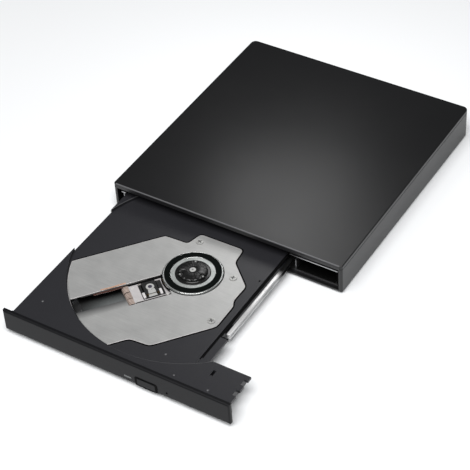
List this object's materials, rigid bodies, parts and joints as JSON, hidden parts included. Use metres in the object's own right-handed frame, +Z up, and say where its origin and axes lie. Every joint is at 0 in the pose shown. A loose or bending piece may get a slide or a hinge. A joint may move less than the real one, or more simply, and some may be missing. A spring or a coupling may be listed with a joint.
{
  "type": "external disc drive",
  "caption": "Slim external disc drive: black case, tray open on telescopic rails, spindle with claws, laser pickup on a sled, eject button and rear sockets.",
  "frame": {"origin": "middle of the case's footprint, on the surface it stands on", "axes": "+X to the right seen from the front, +Y from the bezel to the rear sockets, +Z up"},
  "size_m": [0.135, 0.2435, 0.0182],
  "materials": {
    "case_plastic": "matte",
    "tray_plastic": "satin",
    "bezel_plastic": "satin",
    "rubber_black": "matte",
    "screw_steel": "polished",
    "board_green": "satin",
    "chip_black": "matte",
    "socket_metal": "satin",
    "black_plastic": "satin",
    "chassis_steel": "satin",
    "rail_steel": "polished",
    "plate_steel": "satin",
    "ribbon_film": "satin",
    "shaft_steel": "polished",
    "lamp_clear": "gloss",
    "copper": "satin",
    "lens_glass": "clear"
  },
  "bodies": {
    "case": {"base_shell": "case_plastic", "top_cover": "case_plastic", "rubber_feet": "rubber_black", "case_screws": "screw_steel", "bridge_board": "board_green", "bridge_chips": "chip_black", "usb_socket": "socket_metal", "power_jack": "black_plastic", "drive_connector": "black_plastic", "drive_tub": "chassis_steel", "drive_lid": "chassis_steel", "lid_screws": "screw_steel", "main_board": "board_green", "main_chips": "chip_black", "ribbon_socket": "black_plastic", "ribbon_cable": "ribbon_film", "left_guide": "black_plastic", "right_guide": "black_plastic", "latch_post": "screw_steel"},
    "left_rail_bar": {"left_rail": "rail_steel"},
    "right_rail_bar": {"right_rail": "rail_steel"},
    "tray": {"tray_frame": "tray_plastic", "front_bezel": "bezel_plastic", "cover_plate": "plate_steel", "plate_screws": "screw_steel", "traverse_frame": "chassis_steel", "damper_bushes": "rubber_black", "damper_screws": "screw_steel", "spindle_motor": "socket_metal", "main_guide_shaft": "shaft_steel", "idle_guide_shaft": "shaft_steel", "stepper_motor": "socket_metal", "bottom_shield": "chassis_steel", "control_board": "board_green", "eject_switch": "black_plastic", "status_lamp": "lamp_clear", "latch_solenoid": "copper", "ribbon_end": "ribbon_film", "light_pipe": "lamp_clear", "ejector_housing": "black_plastic", "ejector_spring": "screw_steel"},
    "disc_turntable": {"turntable": "plate_steel", "friction_ring": "rubber_black", "spindle_shaft": "shaft_steel", "turntable_hub": "black_plastic"},
    "first_claw": {"claw_1": "black_plastic"},
    "second_claw": {"claw_2": "black_plastic"},
    "third_claw": {"claw_3": "black_plastic"},
    "pickup": {"pickup_body": "black_plastic", "pickup_cover": "plate_steel", "laser_diode": "copper", "screw_follower": "black_plastic", "focus_magnets": "socket_metal"},
    "lens": {"lens_holder": "black_plastic", "objective_lens": "lens_glass"},
    "sled_screw": {"lead_screw": "shaft_steel"},
    "latch": {"latch_hook": "black_plastic"},
    "button": {"eject_button": "bezel_plastic"},
    "ejector": {"ejector_pin": "shaft_steel"}
  },
  "joints": [
    {"name": "tray_slide", "type": "slide", "parent": "case", "child": "tray", "axis": [0, 1, 0], "range_m": [0, 0.1]},
    {"name": "left_rail_slide", "type": "slide", "parent": "case", "child": "left_rail_bar", "axis": [0, 1, 0], "range_m": [0, 0.086]},
    {"name": "right_rail_slide", "type": "slide", "parent": "case", "child": "right_rail_bar", "axis": [0, 1, 0], "range_m": [0, 0.086]},
    {"name": "turntable_spin", "type": "hinge", "parent": "tray", "child": "disc_turntable", "pos_m": [0.0005, -0.1018, 0.009], "axis": [0, 0, 1], "continuous": true},
    {"name": "sled_slide", "type": "slide", "parent": "tray", "child": "pickup", "axis": [-0.6361, -0.7716, 0], "range_m": [0, 0.034]},
    {"name": "lead_screw_turn", "type": "hinge", "parent": "tray", "child": "sled_screw", "pos_m": [-0.01385, -0.08997, 0.0061], "axis": [-0.6361, -0.7716, 0], "range_deg": [0, 4081]},
    {"name": "lens_focus", "type": "slide", "parent": "pickup", "child": "lens", "axis": [0, 0, 1], "range_m": [-0.0003, 0.0003], "stiffness_N_per_m": 40},
    {"name": "latch_swing", "type": "hinge", "parent": "tray", "child": "latch", "pos_m": [0.024, -0.1553, 0.0042], "axis": [0, 0, 1], "range_deg": [0, 12], "stiffness_Nm_per_rad": 0.002},
    {"name": "eject_button_press", "type": "slide", "parent": "tray", "child": "button", "axis": [0, 1, 0], "range_m": [0, 0.0006], "stiffness_N_per_m": 400},
    {"name": "ejector_push", "type": "slide", "parent": "tray", "child": "ejector", "axis": [0, -1, 0], "range_m": [0, 0.005], "stiffness_N_per_m": 200},
    {"name": "first_claw_slide", "type": "slide", "parent": "disc_turntable", "child": "first_claw", "axis": [0.6361, 0.7716, 0], "range_m": [0, 0.0003], "stiffness_N_per_m": 100},
    {"name": "second_claw_slide", "type": "slide", "parent": "disc_turntable", "child": "second_claw", "axis": [-0.9863, 0.165, 0], "range_m": [0, 0.0003], "stiffness_N_per_m": 100},
    {"name": "third_claw_slide", "type": "slide", "parent": "disc_turntable", "child": "third_claw", "axis": [0.3502, -0.9367, 0], "range_m": [0, 0.0003], "stiffness_N_per_m": 100}
  ],
  "couplings": [
    {"joint": "left_rail_slide", "follows": "tray_slide", "ratio": 0.86},
    {"joint": "right_rail_slide", "follows": "tray_slide", "ratio": 0.86},
    {"joint": "lead_screw_turn", "follows": "sled_slide", "rad_per_m": 2094.4}
  ]
}
